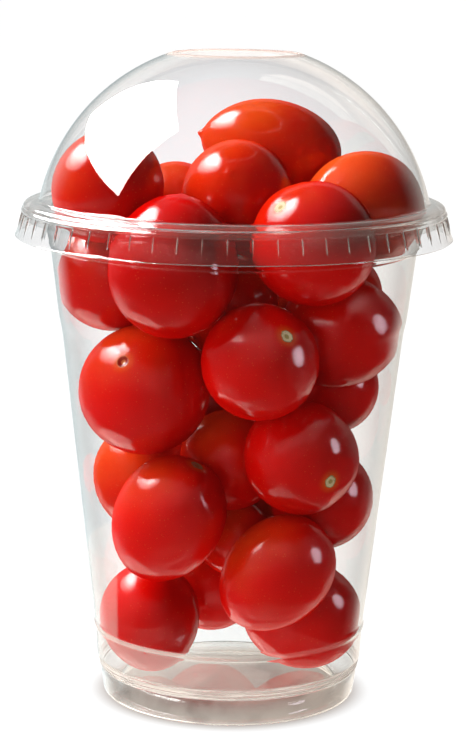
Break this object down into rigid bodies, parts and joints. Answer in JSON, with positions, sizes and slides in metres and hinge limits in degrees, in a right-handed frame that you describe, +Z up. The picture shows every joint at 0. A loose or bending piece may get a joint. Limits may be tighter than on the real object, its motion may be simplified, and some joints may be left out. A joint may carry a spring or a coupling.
{
  "type": "clear cup of cherry tomatoes with a dome lid",
  "caption": "Clear tapered cup with a clear clip-on dome lid that has a round hole, filled with loose red cherry tomatoes.",
  "frame": {"origin": "centre of the foot ring, on the surface that the cup stands on", "axes": "+Z up along the cup's axis, -Y towards the viewer"},
  "size_m": [0.1012, 0.1012, 0.1511],
  "materials": {
    "clear_cup": "clear, gloss",
    "clear_lid": "clear, gloss",
    "tomato_skin": "smooth waxy skin"
  },
  "bodies": {
    "root": {"cup": "clear_cup", "dome_lid": "clear_lid", "tomatoes": "tomato_skin"}
  },
  "joints": []
}
